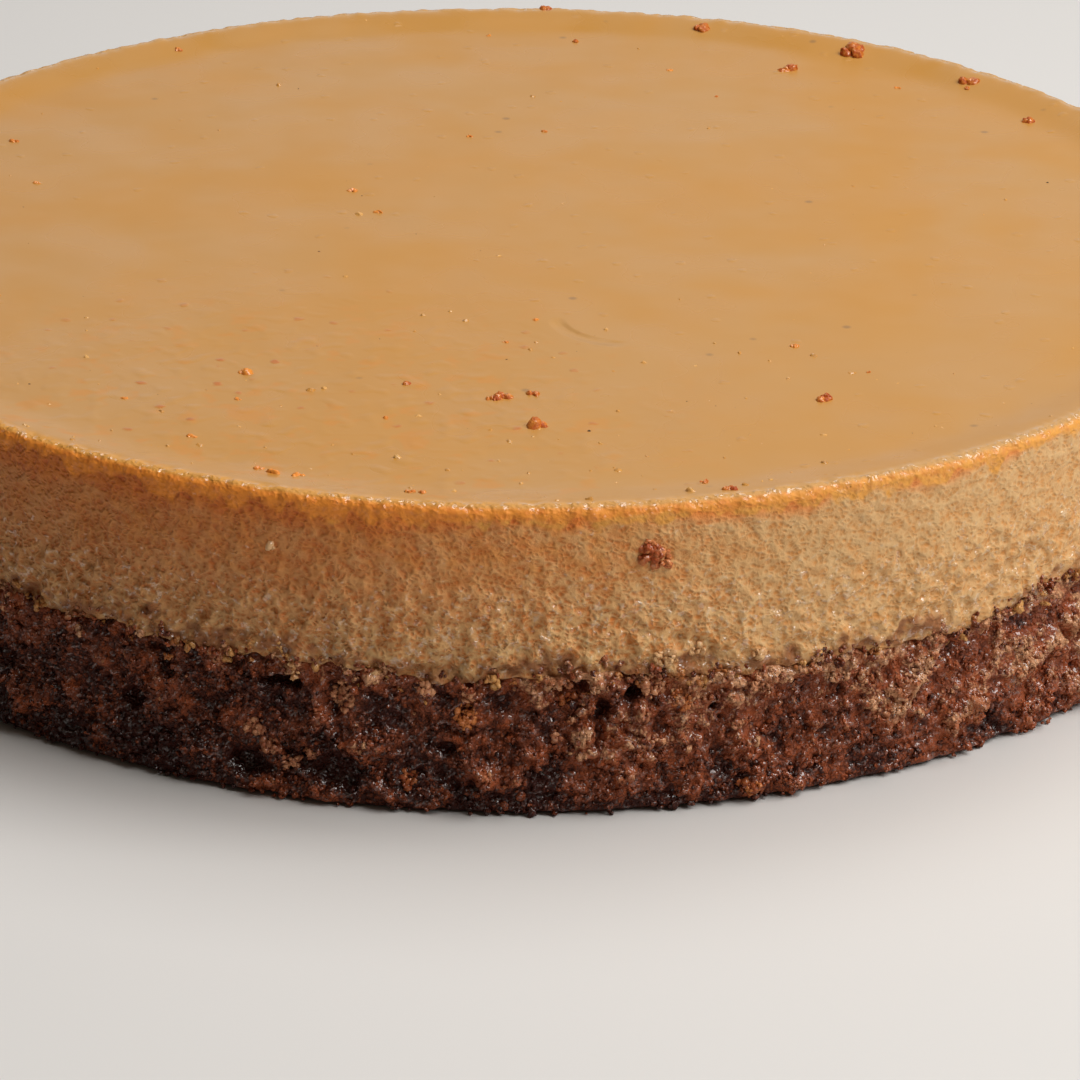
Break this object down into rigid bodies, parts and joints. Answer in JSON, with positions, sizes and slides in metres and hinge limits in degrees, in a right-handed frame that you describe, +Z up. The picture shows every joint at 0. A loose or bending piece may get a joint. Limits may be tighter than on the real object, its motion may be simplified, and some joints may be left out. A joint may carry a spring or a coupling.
{
  "type": "chocoflan cake",
  "caption": "Round two-layer chocoflan: a smooth caramel flan layer resting on a moist, crumbly chocolate sponge layer.",
  "frame": {"origin": "centre of the cake's flat underside", "axes": "+Z up through the flan; -Y is the front of the cake as served"},
  "size_m": [0.2405, 0.2399, 0.0498],
  "materials": {
    "caramel_flan": "satin",
    "chocolate_sponge": "matte"
  },
  "bodies": {
    "root": {"caramel_flan": "caramel_flan", "chocolate_sponge": "chocolate_sponge"}
  },
  "joints": []
}
